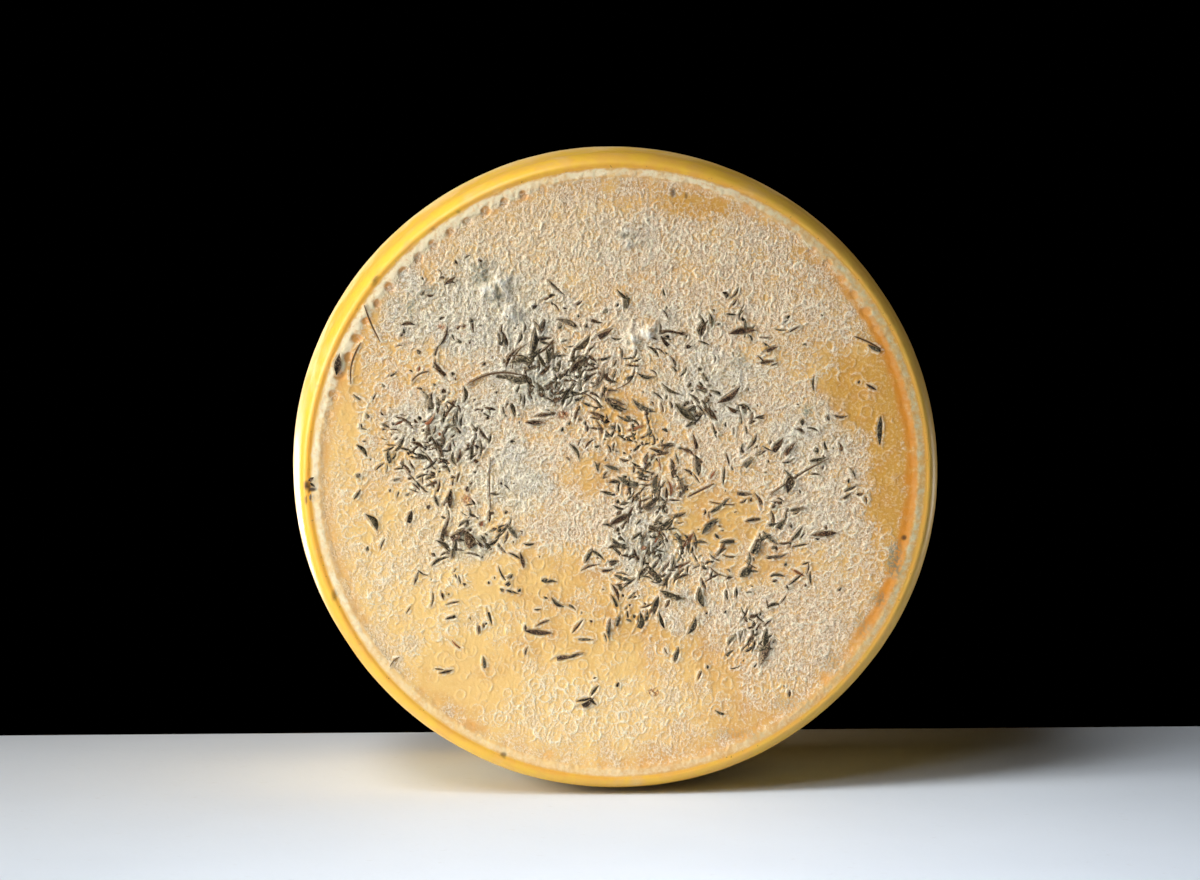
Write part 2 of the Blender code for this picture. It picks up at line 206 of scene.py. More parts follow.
# White ridges of mould: across, up, radius, height, start of its turn, share of a turn and width
STROKES = (
    (-1.5, 46.0, 5.2, 0.8, 0.80, 0.32, 0.7), (1.0, 49.5, 2.2, 0.7, 0.1, 0.9, 0.5),
    (-37, 58, 3.4, 0.5, 0.6, 0.7, 0.6), (-34, 51, 2.6, 0.5, 0.2, 0.6, 0.6),
    (-35, 61, 2.0, 0.5, 0.5, 0.8, 0.5), (6, 44, 3.0, 0.6, 0.3, 0.5, 0.6),
    (-39, 53, 2.4, 0.4, 0.9, 0.6, 0.5), (-2, 14, 2.6, 0.4, 0.4, 0.8, 0.4),
)


def zone(spots, seed, ragged, full):
    """From 0 to 1: how much of a look lies at each cell, from spots with ragged edges.

    A spot is at its full strength out to the share `full` of its reach.
    """
    wobble = ragged * fractal(7, 3, seed)
    most = np.zeros_like(ACROSS)
    for across, up, reach_across, reach_up, strength in spots:
        away = np.hypot((ACROSS - across) / reach_across, (UP - up) / reach_up) + wobble
        most = np.maximum(most, strength * (1 - smooth(full, 1.6 - full, away)))
    return most


# Relief of a face

def window(across, up, reach):
    """The slices of the raster round a place, and the distances there from it."""
    i, j = (int((value + REACH) / CELL) for value in (across, up))
    half = int(reach / CELL) + 1
    rows = slice(max(0, j - half), min(CELLS, j + half + 1))
    columns = slice(max(0, i - half), min(CELLS, i + half + 1))
    return (rows, columns), ACROSS[rows, columns] - across, UP[rows, columns] - up


def add_print(prints, across, up, radius, height, start, share, width=0.22):
    """One thin round ridge, over a share of its turn, with worn ends."""
    cells, x, y = window(across, up, radius + 3 * width)
    away = np.abs(np.hypot(x, y) - radius)
    turn = (np.arctan2(y, x) / (2 * math.pi) - start) % 1
    worn = smooth(0, 0.06, turn) * (1 - smooth(share - 0.08, share, turn)) if share < 1 else 1
    ridge = height * np.exp(-((away / width) ** 2)) * worn
    prints[cells] = np.maximum(prints[cells], ridge)


def round_prints(bare, seed):
    """The prints of the cloth and mould on the face: thin rings and crescents, from 0 to about 1."""
    draw = random.Random(seed)
    prints = np.zeros_like(ACROSS)
    for pitch, tilt, jitter, keep, usual in ((4.2, 0.2, 0.9, 0.95, 1.7), (5.0, 0.9, 1.4, 0.75, 1.85)):
        count = int(FACE_RADIUS / pitch) + 1
        for i in range(-count, count + 1):
            for j in range(-count, count + 1):
                x = pitch * (i + 0.5 * (j % 2)) + draw.gauss(0, 0.35 * jitter)
                y = pitch * 0.87 * j + draw.gauss(0, 0.35 * jitter)
                across = x * math.cos(tilt) - y * math.sin(tilt)
                up = x * math.sin(tilt) + y * math.cos(tilt)
                radius, share = draw.gauss(usual, 0.22), draw.uniform(0.5, 1.4)
                height, start, chance, inner = (draw.random() for _ in range(4))
                if math.hypot(across, up) > FACE_RADIUS - 1.5:
                    continue
                if chance > keep * (1 - 0.6 * float(sampled(bare, across, up))):
                    continue
                add_print(prints, across, up, radius, 0.4 + 0.6 * height, start, share)
                if inner < 0.4:
                    add_print(prints, across, up, 0.48 * radius, 0.5, start, share)
    for _ in range(CRESCENTS):
        reach, turn = (FACE_RADIUS - 1) * math.sqrt(draw.random()), draw.uniform(-math.pi, math.pi)
        across, up = at(reach, turn)
        ranges = ((0.5, 1.5), (0.3, 0.9), (0, 1), (0.2, 0.6))
        radius, height, start, share = (draw.uniform(*r) for r in ranges)
        if draw.random() < 1 - 0.6 * float(sampled(bare, across, up)):
            add_print(prints, across, up, radius, height, start, share)
    return prints


def lump_relief(lumps, seed):
    relief = np.zeros_like(ACROSS)
    knobbly = 0.3 * fractal(2.6, 2, seed)
    for across, up, radius, height in lumps:
        away = np.hypot(ACROSS - across, UP - up) / radius
        relief = np.maximum(relief, height * (1 - smooth(0, 1, away + knobbly * away)))
    return relief


def edge_pits(seed):
    """The row of small round pits just inside the ridge, from 0 to 1."""
    draw = random.Random(seed)
    pits = np.zeros_like(ACROSS)
    for i in range(PITS):
        turn = 2 * math.pi * (i + 0.5) / PITS
        radius = PIT_RADIUS + draw.gauss(0, 0.15)
        cells, x, y = window(*at(radius, turn), 2.5)
        size = PIT_SIZE * draw.uniform(0.8, 1.1)
        uneven = np.hypot(x, y) + 0.15 * np.sin(2 * np.arctan2(y, x) + draw.uniform(0, 6))
        pits[cells] = np.maximum(pits[cells], 1 - smooth(size - 0.4, size + 0.3, uneven))
    return pits


class Face:
    """The relief of one face and the looks on it, each a raster."""

    def __init__(self, shown, leaves):
        self.shown = shown
        seed = 100 if shown else 500
        zones = {
            "bare": BARE_ZONES, "grey": GREY_ZONES, "pale": PALE_ZONES, "blue": BLUE_ZONES,
            "rust": RUST_ZONES, "dark": DARK_ZONES, "deep": DEEP_ZONES, "painted_light": PAINTED_LIGHT_ZONES,
        }
        if not shown:
            zones = {name: hidden_zones(spots, seed + k) for k, (name, spots) in enumerate(zones.items())}
        looks = {}
        for k, (name, spots) in enumerate(zones.items()):
            ragged, full = (0.2, 0.45) if name in ("dark", "rust") else (0.55, 0.4)
            looks[name] = zone(spots, seed + 10 * k, ragged, full)
        inside = 1 - smooth(FACE_RADIUS - 1.5, FACE_RADIUS + 1.5, RADIAL)
        prints = round_prints(looks["bare"], seed + 1) * inside
        prints *= 0.55 + 0.45 * smooth(-0.35, 0.3, fractal(2.4, 2, seed + 13))
        pits = edge_pits(seed + 2)
        pitted = smooth(98, 112, TURN) * (1 - smooth(160, 176, TURN))
        pitted = np.maximum(pitted, 0.6 * smooth(20, 35, TURN) * (1 - smooth(50, 65, TURN)))
        pitted = np.maximum(pitted, 0.25)
        strokes = self.white_strokes(seed + 12) * inside
        worm = 1 - smooth(0.02, 0.2, np.abs(fractal(1.7, 2, seed + 3)))
        coarse = fractal(3.2, 3, seed + 4)
        lumps = lump_relief(LUMPS if shown else hidden_lumps(seed + 5), seed + 6)
        dry = np.maximum(looks["pale"], looks["grey"])
        rough = inside * (0.4 + 0.6 * dry) * (1 - 0.65 * looks["bare"])

        base = blurred(np.interp(RADIAL, *zip(*LID_PRINT)), 1)
        base += 0.25 * fractal(24, 2, seed + 9) * (1 - smooth(0.9 * FACE_RADIUS, FACE_RADIUS, RADIAL))
        base += lumps * inside
        self.ground = blurred(base, 4)
        edge_wear = np.exp(-(((RADIAL - 90.9) / 1.5) ** 2)) * (1 - smooth(92.2, 93.2, RADIAL))
        grain = fractal(0.85, 1, seed + 14)
        relief = base + 0.27 * prints + 0.5 * strokes
        relief += rough * (0.05 * worm + 0.2 * coarse + 0.17 * grain)
        relief += 0.35 * looks["grey"] * inside * np.maximum(0, fractal(2.2, 2, seed + 7))
        knobs, bumpy = smooth(0.15, 0.6, lumps) * inside, fractal(3.4, 2, seed + 16)
        relief += 0.9 * knobs * bumpy
        relief -= 0.3 * pits * pitted
        relief += 0.22 * edge_wear * fractal(1.6, 3, seed + 8)
        self.relief = relief
        looks["prints"] = np.maximum(prints, strokes)
        looks["worm"] = worm
        looks["knobs"] = knobs * smooth(-0.1, 0.35, bumpy)
        # painted shade: the dips between the knobs of mould are marked to be coloured dark olive
        looks["hollows"] = knobs * smooth(0.0, -0.35, bumpy)
        looks["painted_lip_highlight"] = np.zeros_like(ACROSS)
        looks["pits"] = pits * pitted
        looks["rim_bloom"] = self.rim_bloom(pits, pitted, seed)
        wander = RADIAL + 1.5 * fractal(9, 3, seed + 18)
        groove = smooth(86.0, 88.2, wander) * (1 - smooth(90.0, 90.8, RADIAL))
        turned = np.abs((TURN - 2 + 180) % 360 - 180)
        bared = np.maximum(1 - smooth(25, 55, turned), 0.4 * smooth(140, 160, turned))
        bared = np.maximum(bared, 0.6 * smooth(0.0, 0.4, fractal(12, 2, seed + 15)))
        looks["groove"] = groove * np.clip(bared, 0.08, 1) * smooth(-0.9, 0.0, fractal(5, 3, seed + 19))
        self.looks = looks
        self.press(leaves)

    def white_strokes(self, seed):
        strokes = np.zeros_like(ACROSS)
        draw = random.Random(seed)
        for across, up, radius, height, start, share, width in STROKES:
            if not self.shown:
                turn, reach = draw.uniform(0, 2 * math.pi), math.hypot(across, up)
                across, up = at(reach, turn)
            add_print(strokes, across, up, radius, height, start, share, width)
        return strokes * (0.75 + 0.5 * fractal(1.5, 2, seed + 1))

    def rim_bloom(self, pits, pitted, seed):
        """The scalloped white line on the ridge and between the pits."""
        uneven = RADIAL + 0.7 * fractal(3.5, 2, seed + 20)
        line = smooth(90.3, 90.8, uneven) * (1 - smooth(92.2, 92.8, uneven))
        between_pits = smooth(88.6, 89.6, uneven) * (1 - smooth(90.8, 91.6, RADIAL)) * pitted
        broken = smooth(-0.45, 0.15, fractal(5, 3, seed + 11))
        scallops = np.maximum(line * (0.35 + 0.65 * np.maximum(broken, pitted)), between_pits)
        low = 1 - 0.55 * smooth(30, 70, -UP)
        worn = low * (1 - 0.5 * smooth(20, 70, ACROSS) * smooth(-0.3, 0.2, fractal(2.2, 2, seed + 17)))
        return np.clip(scallops * worn * (1 - 1.4 * pits * pitted), 0, 1)

    def press(self, leaves):
        """Lays the rind flat under each leaf, lifts a thin lip of it round the leaf, and marks that lip
        for a painted cream highlight.
        """
        for across, up, length, width, angle, bend in leaves:
            cells, x, y = window(across, up, 0.5 * length + 1.2)
            along = (x * math.cos(angle) + y * math.sin(angle)) / (0.5 * length)
            inner = np.maximum(0, 1 - along**2)
            beside = y * math.cos(angle) - x * math.sin(angle) - bend * length * inner
            away = np.abs(beside) - 0.5 * width * inner + np.maximum(0, np.abs(along) - 1) * length
            under = 1 - smooth(0.0, 0.35, away)
            lip = np.exp(-(((away - 0.45) / 0.28) ** 2))
            flat = self.ground[cells] - 0.05
            self.relief[cells] = self.relief[cells] * (1 - under) + flat * under + 0.22 * lip
            self.looks["painted_lip_highlight"][cells] = np.maximum(self.looks["painted_lip_highlight"][cells] * (1 - under), lip)


def hidden_zones(spots, seed):
    """As many spots of the same sizes, at places drawn for the hidden face."""
    draw = random.Random(seed)
    moved = []
    for across, up, reach_across, reach_up, strength in spots:
        reach = math.hypot(across, up)
        turn = draw.uniform(0, 2 * math.pi)
        moved.append((*at(reach, turn), reach_across, reach_up, strength))
    return moved


def hidden_lumps(seed):
    draw = random.Random(seed)
    lumps = []
    for _, _, radius, height in LUMPS:
        reach, turn = 70 * math.sqrt(draw.random()), draw.uniform(0, 2 * math.pi)
        lumps.append((*at(reach, turn), radius, 0.6 * height))
    return lumps


# Meshes

def placed(across, up, depth, shown):
    """World places in metres, from places on a face and depths from the wheel's middle."""
    across, up, depth = (np.asarray(value, float) for value in (across, up, depth))
    height = np.maximum(0, CENTRE_HEIGHT + up * (1 - SAG))
    side = -depth if shown else depth
    return np.stack(np.broadcast_arrays(across * (1 + SAG), side, height), axis=-1) * MM


def add_mesh(name, points, faces):
    mesh = bpy.data.meshes.new(name)
    mesh.from_pydata(np.asarray(points).tolist(), [], [list(face) for face in faces])
    mesh.update()
    piece = bpy.data.objects.new(name, mesh)
    bpy.context.scene.collection.objects.link(piece)
    return piece


def points_of(piece):
    flat = np.empty(3 * len(piece.data.vertices), np.float32)
    piece.data.vertices.foreach_get("co", flat)
    return flat.reshape(-1, 3)


def set_look(piece, name, values):
    """Stores one number for each point of a piece, for its material."""
    layer = piece.data.attributes.new(name, "FLOAT", "POINT")
    layer.data.foreach_set("value", np.asarray(values, np.float32))


def disc_grid(count):
    """Places on a round disc of radius 1, as a square grid bent to fill it evenly."""
    line = np.linspace(-1, 1, count + 1)
    a, b = np.meshgrid(line, line)
    wide = np.abs(a) >= np.abs(b)
    safe_a, safe_b = (np.where(v == 0, 1, v) for v in (a, b))
    turn = np.where(wide, math.pi / 4 * b / safe_a, math.pi / 2 - math.pi / 4 * a / safe_b)
    reach = np.where(wide, a, b)
    return (reach * np.cos(turn)).ravel(), (reach * np.sin(turn)).ravel()


def grid_faces(rows, columns):
    """Four-sided faces of a grid of points that is stored row by row."""
    index = np.arange(rows * columns).reshape(rows, columns)
    corners = (index[:-1, :-1], index[:-1, 1:], index[1:, 1:], index[1:, :-1])
    return np.stack([c.ravel() for c in corners], axis=1)


def close_below(piece, depth, shown):
    """Turns an open quarter of a face into a solid, with a skirt and a flat back inside the wheel."""
    mesh = bmesh.new()
    mesh.from_mesh(piece.data)
    rim = [edge for edge in mesh.edges if edge.is_boundary]
    for edge in rim:
        edge.smooth = False
    made = bmesh.ops.extrude_edge_only(mesh, edges=rim)["geom"]
    lower = [item for item in made if isinstance(item, bmesh.types.BMVert)]
    for vertex in lower:
        vertex.co.y = (-depth if shown else depth) * MM
    middle = mesh.verts.new(sum((vertex.co for vertex in lower), Vector()) / len(lower))
    for edge in [item for item in made if isinstance(item, bmesh.types.BMEdge) and item.is_boundary]:
        mesh.faces.new((*edge.verts, middle))
    bmesh.ops.recalc_face_normals(mesh, faces=mesh.faces)
    mesh.to_mesh(piece.data)
    mesh.free()


def face_pieces(name, face, count):
    """One face of the wheel, out to the notch, as four closed quarters."""
    x, y = disc_grid(count)
    across, up = x * NOTCH_RADIUS, y * NOTCH_RADIUS
    depth = HALF_THICKNESS + sampled(face.relief, across, up)
    points = placed(across, up, depth, face.shown)
    faces = grid_faces(count + 1, count + 1)
    right, upper = across[faces].mean(axis=1) > 0, up[faces].mean(axis=1) > 0
    return [
        quarter_piece(f"{name}_{k + 1}", face, points, faces[chosen])
        for k, chosen in enumerate((right & upper, ~right & upper, ~right & ~upper, right & ~upper))
    ]


def quarter_piece(name, face, points, faces):
    used, renumbered = np.unique(faces, return_inverse=True)
    piece = add_mesh(name, points[used], renumbered.reshape(faces.shape))
    close_below(piece, HALF_THICKNESS - BACKING, face.shown)
    places = points_of(piece) / MM
    across = places[:, 0] / (1 + SAG)
    up = (places[:, 2] - CENTRE_HEIGHT) / (1 - SAG)
    for look, raster in face.looks.items():
        set_look(piece, look, sampled(raster, across, up))
    set_look(piece, "side", np.zeros(len(places)))
    set_look(piece, "radial", np.hypot(across, up))
    bake_map(piece, np.abs(across) / REACH, np.abs(up) / REACH, np.arange(len(places)) >= len(used))
    return piece


def bake_map(piece, across, up, hidden):
    """A flat map of the piece, with the faces that touch a hidden point in its free corner."""
    layer = piece.data.uv_layers.new(name="OFBake")
    corners = np.empty(len(piece.data.loops), int)
    piece.data.loops.foreach_get("vertex_index", corners)
    u, v = across[corners], up[corners]
    starts = np.empty(len(piece.data.polygons), int)
    piece.data.polygons.foreach_get("loop_start", starts)
    sizes = np.diff(np.append(starts, len(corners)))
    tucked = np.repeat(np.maximum.reduceat(hidden[corners].astype(int), starts), sizes).astype(bool)
    u[tucked], v[tucked] = 0.93 + 0.06 * u[tucked], 0.93 + 0.06 * v[tucked]
    layer.data.foreach_set("uv", np.stack((u, v), axis=1).astype(np.float32).ravel())


def side_profile():
    """(radius, depth) of the outside, from one notch round the side to the other notch."""
    half = []
    for share in np.linspace(0, 1, 13):
        half.append((RADIUS - BULGE * share**2, SIDE_HALF * share))
    wide = RADIUS - BULGE - SHOULDER_RADIUS
    deep = HALF_THICKNESS - SHOULDER_DROP - SIDE_HALF
    for turn in np.linspace(0, math.pi / 2, 13)[1:]:
        half.append((SHOULDER_RADIUS + wide * math.cos(turn), SIDE_HALF + deep * math.sin(turn)))
    half += [(93.3, 42.05), (92.6, 41.7), (91.6, 40.8), (91.0, 40.0)]
    return [(r, -d) for r, d in reversed(half)] + half[1:]


def side_piece(front, back, segments=520):
    """The smooth side wall with both shoulders, closed by flat discs behind the faces."""
    profile = side_profile()
    turns = np.linspace(0, 2 * math.pi, segments, endpoint=False)
    radius = np.array([r for r, _ in profile])[:, None] * np.ones(segments)
    side = np.array([d for _, d in profile])[:, None] * np.ones(segments)
    across, up = radius * np.cos(turns), radius * np.sin(turns)
    calm = smooth(-RADIUS, -0.9 * RADIUS, up) * smooth(93.3, 95, radius)
    places = np.stack((across, side, up), axis=-1).reshape(-1, 3)
    slow = np.array([noise.noise(Vector(p) / 45) for p in places]).reshape(radius.shape)
    fine = np.array([noise.fractal(Vector(p) / 7, 0.8, 2.1, 3) for p in places]).reshape(radius.shape)
    swell = (0.35 * slow + 0.05 * fine) * calm
    shown, hidden = (sampled(face.looks["dark"], across, up) for face in (front, back))
    dark = np.where(side < 0, shown, hidden) * (1 - smooth(94.6, 95.2, radius))
    across, up = across * (1 + swell / radius), up * (1 + swell / radius)
    points = placed(across, up, side, False).reshape(-1, 3).tolist()
    rows, faces = len(profile), []
    for start in range(0, (rows - 1) * segments, segments):
        for j in range(segments):
            k = (j + 1) % segments
            faces.append((start + j, start + k, start + segments + k, start + segments + j))
    for row, depth in ((0, profile[0][1]), (rows - 1, profile[-1][1])):
        middle = len(points)
        points.append(placed(0, 0, depth, False).tolist())
        for j in range(segments):
            faces.append((row * segments + j, row * segments + (j + 1) % segments, middle))
    piece = add_mesh("cheese_side", points, faces)
    mesh = bmesh.new()
    mesh.from_mesh(piece.data)
    bmesh.ops.recalc_face_normals(mesh, faces=mesh.faces)
    mesh.to_mesh(piece.data)
    mesh.free()
    flat = np.append(radius.ravel(), (0, 0))
    depth = np.append(np.abs(side).ravel(), (40, 40))
    set_look(piece, "radial", flat)
    set_look(piece, "dark", np.append(dark.ravel(), (0, 0)))
    set_look(piece, "side", 1 - smooth(8, 35, depth))
    return piece


# Leaves: the clusters of the CAD model's shown face, with places and lengths in millimetres, as
# across, up, spread across, spread up, count, main direction, its spread in degrees, usual length
FRONT_CLUSTERS = (
    (-19, 30, 7, 6, 40, 35, 45, 4.8), (-26, 42, 8, 7, 22, 100, 30, 4.8),
    (-9, 30, 5, 7, 16, 40, 50, 4.4), (-22, 21, 10, 4, 18, 20, 60, 4.0),
    (-53, 16, 4, 7, 22, 105, 30, 4.4), (-49, 10, 7, 4, 24, 120, 50, 4.4),
    (-64, 8, 7, 7, 28, 60, 90, 4.0), (-58, 0, 8, 3, 14, 150, 50, 4.2),
    (-46, -16, 8, 6, 18, 70, 60, 4.2), (-42, -21, 3, 2, 9, 140, 40, 4.6),
    (-66, 51, 9, 5, 12, 60, 80, 3.8), (-73, 31, 7, 8, 10, 110, 60, 3.8),
    (-84, 11, 2, 9, 6, 90, 60, 3.2), (-53, 63, 9, 4, 6, 60, 60, 3.4),
    (4, 11, 7, 4, 22, 110, 60, 4.0), (6, -1, 8, 5, 22, 100, 50, 4.2),
    (8, -10, 5, 4, 14, 50, 40, 4.6), (12, -25, 9, 6, 34, 40, 60, 4.2),
    (0, -23, 8, 4, 12, 30, 40, 4.2), (23, -28, 4, 6, 14, 110, 40, 4.0),
    (6, -43, 7, 5, 9, 80, 40, 4.4), (22, 22, 7, 5, 16, 125, 30, 4.4),
    (15, 36, 9, 4, 12, 120, 50, 3.6), (28, 11, 9, 8, 15, 70, 60, 4.2),
    (26, -1, 8, 5, 9, 100, 50, 4.2), (36, -16, 10, 7, 12, 60, 60, 4.0),
    (48, -22, 7, 8, 12, 50, 50, 4.0), (53, 11, 8, 4, 8, 60, 40, 4.2),
    (53, -2, 7, 5, 5, 60, 60, 4.2), (41, -49, 3, 5, 20, 65, 35, 4.0),
    (36, 42, 9, 5, 8, 20, 50, 3.6), (7, 51, 11, 5, 8, 110, 40, 3.6),
    (50, 42, 7, 3, 5, 40, 40, 3.4), (-5, -46, 36, 15, 26, 90, 90, 3.8),
    (-53, -31, 15, 11, 12, 70, 90, 3.8), (72, 5, 9, 19, 8, 90, 90, 3.6),
    (2, 4, 5, 6, 14, 100, 50, 4.2), (9, -16, 5, 4, 12, 60, 50, 4.2),
    (0, 0, 40, 40, 16, 90, 90, 3.4),
)
# Single leaves that stand out: across, up, length, width, direction in degrees and bend
FRONT_LEAVES = (
    (37.1, 43.2, 8.5, 2.2, 8, 0.05), (79, 13.1, 9.1, 1.7, 88, 0.03), (-29.2, 34.3, 7.9, 2, 5, 0.1),
    (51.4, -3, 6.2, 2.9, 80, 0), (-74.8, -14.3, 6.3, 2, 125, -0.15), (0.4, -13.9, 8.2, 1.8, 27, 0.04),
    (8.6, -9.6, 8, 1.9, 42, -0.05), (-17.6, -56.5, 7.3, 1.5, 12, 0.06),
    (-44.4, -20.4, 7.6, 3.1, 125, 0.1), (77.4, 38.2, 5.4, 1.3, 155, 0.05),
    (5, -45.4, 7.6, 1.9, 72, -0.22), (11.2, -40.2, 5.8, 1.7, 75, 0.05), (21.9, -46.5, 6, 1.6, 65, -0.12),
    (47.7, 8.3, 6.4, 1.9, 55, 0), (38.9, 2.7, 6.2, 1.7, 50, 0.08), (27.4, -16, 7, 1.7, 45, 0.05),
    (49.2, -16.2, 5.8, 1.6, 60, 0.1), (-63.2, -13.1, 4.8, 1.5, 75, 0), (38.3, -30.1, 4.8, 2.7, 40, 0),
    (20, 19, 8.4, 2.2, 140, 0.06), (33, 24.3, 8.6, 1.9, 36, -0.1), (-55.6, 21.6, 7.6, 2, 100, 0.2),
    (-26, 40.5, 8.6, 2, 82, -0.06), (-12.1, 33, 7.6, 2, 38, 0.08), (-30.5, 29.6, 8.6, 2, 170, 0.12),
    (25, -37.7, 6.2, 1.8, 100, 0.1), (23.4, 2.6, 6.4, 2, 100, -0.04), (45.4, 37.6, 5.6, 1.3, 25, 0.05),
    (-84.5, 33.7, 6.7, 2.3, 82, 0), (-92.6, -1.6, 2.6, 1.1, 60, 0.2), (-92.4, -2.8, 2.2, 0.8, 140, 0),
    (-92.9, -6.6, 2.2, 0.6, 85, 0.1), (-0.6, -64.6, 1.9, 0.8, 65, 0), (-8, -69.5, 3.4, 0.8, 130, 0.05),
    (30.8, -73.2, 3.8, 0.8, 160, 0.1), (51.8, -67.6, 2.4, 0.8, 85, 0),
)
# Twigs and stalks, in the same order
FRONT_TWIGS = (
    (-74.2, 46, 12, 0.5, 113, 0.03), (-79.2, 34, 13, 0.4, 76, 0.09), (-37, 28.8, 18, 0.45, 8, 0.12),
    (54.4, -0.9, 21, 0.35, 32, 0.02), (74.8, 40, 9, 0.5, 155, -0.03), (-38.9, -2.6, 16, 0.3, 90, 0.02),
    (-8.5, 22.5, 8, 0.35, 140, -0.1), (31, -8.9, 7.6, 0.35, 172, 0.05), (24.5, -5, 9, 0.6, 27, 0),
    (-30, 36, 9, 0.35, 60, 0.15), (2, 30, 9.5, 0.3, 55, -0.2), (-68, -57, 4, 0.25, 45, 0.1),
    (30, -30, 6, 0.3, 150, 0.1), (-60, 30, 6, 0.3, 30, 0.1), (-24, 38, 10, 0.5, 35, -0.08),
)
FLECKS = 380
SHREDS = 150
FLECK_LENGTHS = (0.7, 2.2)
FRONT_SEED = 11
BACK_SEED = 29
BACK_CLUSTERS = 22
LEAF_LENGTHS = (2.2, 8.6)
LEAF_SLIMNESS = (0.11, 0.26)
LEAF_THICKNESS = 0.16
LEAVES_WITHIN = 84.0


def back_clusters():
    draw = random.Random(BACK_SEED)
    clusters = []
    for _ in range(BACK_CLUSTERS):
        reach = 60 * math.sqrt(draw.random())
        turn = draw.uniform(0, 2 * math.pi)
        spread = draw.uniform(4, 13)
        count = draw.randint(10, 28)
        direction = draw.uniform(0, 180)
        length = draw.uniform(3.6, 4.8)
        across, up = at(reach, turn)
        clusters.append((across, up, spread, spread, count, direction, 55, length))
    return clusters


def scattered_leaves(clusters, seed):
    """The leaves, longest first, each as (across, up, length, width, direction, bend)."""
    draw = random.Random(seed)
    leaves = []
    for across, up, spread_across, spread_up, count, direction, turned, usual in clusters:
        for _ in range(count):
            leaf_across = draw.gauss(across, spread_across)
            leaf_up = draw.gauss(up, spread_up)
            length = draw.lognormvariate(math.log(usual), 0.32)
            length = min(LEAF_LENGTHS[1], max(LEAF_LENGTHS[0], length))
            width = length * draw.uniform(*LEAF_SLIMNESS)
            angle = math.radians(draw.gauss(direction, turned))
            bend = draw.uniform(-0.15, 0.15)
            if math.hypot(leaf_across, leaf_up) + length / 2 < LEAVES_WITHIN:
                leaves.append((leaf_across, leaf_up, length, width, angle, bend))
    return sorted(leaves, key=lambda leaf: -leaf[2])


def flecks(leaves, seed):
    """Crumbs of leaf that lie scattered round the leaves."""
    draw = random.Random(seed)
    crumbs = []
    for _ in range(FLECKS):
        near = draw.choice(leaves)
        across, up = near[0] + draw.gauss(0, 5), near[1] + draw.gauss(0, 5)
        length = draw.uniform(*FLECK_LENGTHS)
        if math.hypot(across, up) < LEAVES_WITHIN:
            width = length * draw.uniform(0.3, 0.7)
            crumbs.append((across, up, length, width, draw.uniform(0, math.pi), draw.uniform(-0.2, 0.2)))
    return crumbs


def shreds(leaves, seed):
    """Narrow strips of leaf among the leaves, mostly along them."""
    draw = random.Random(seed)
    strips = []
    for _ in range(SHREDS):
        near = draw.choice(leaves)
        across, up = near[0] + draw.gauss(0, 2.5), near[1] + draw.gauss(0, 2.5)
        length = draw.uniform(2.5, 6.5)
        if math.hypot(across, up) + length / 2 < LEAVES_WITHIN:
            angle = near[4] + draw.gauss(0, 0.6)
            width = length * draw.uniform(0.1, 0.17)
            strips.append((across, up, length, width, angle, draw.uniform(-0.12, 0.12)))
    return strips


def front_leaves():
    named = [(*leaf[:4], math.radians(leaf[4]), leaf[5]) for leaf in FRONT_LEAVES + FRONT_TWIGS]
    scattered = scattered_leaves(FRONT_CLUSTERS, FRONT_SEED)
    return scattered + shreds(scattered, 7) + named + flecks(scattered, 3)


def rear_leaves():
    draw = random.Random(61)
    scattered = scattered_leaves(back_clusters(), BACK_SEED)
    twigs = []
    for _, _, length, width, _, bend in FRONT_TWIGS:
        reach, turn = 70 * math.sqrt(draw.random()), draw.uniform(0, 2 * math.pi)
        twigs.append((*at(reach, turn), length, width, draw.uniform(0, math.pi), bend))
    return scattered + shreds(scattered, 9) + twigs + flecks(scattered, 5)


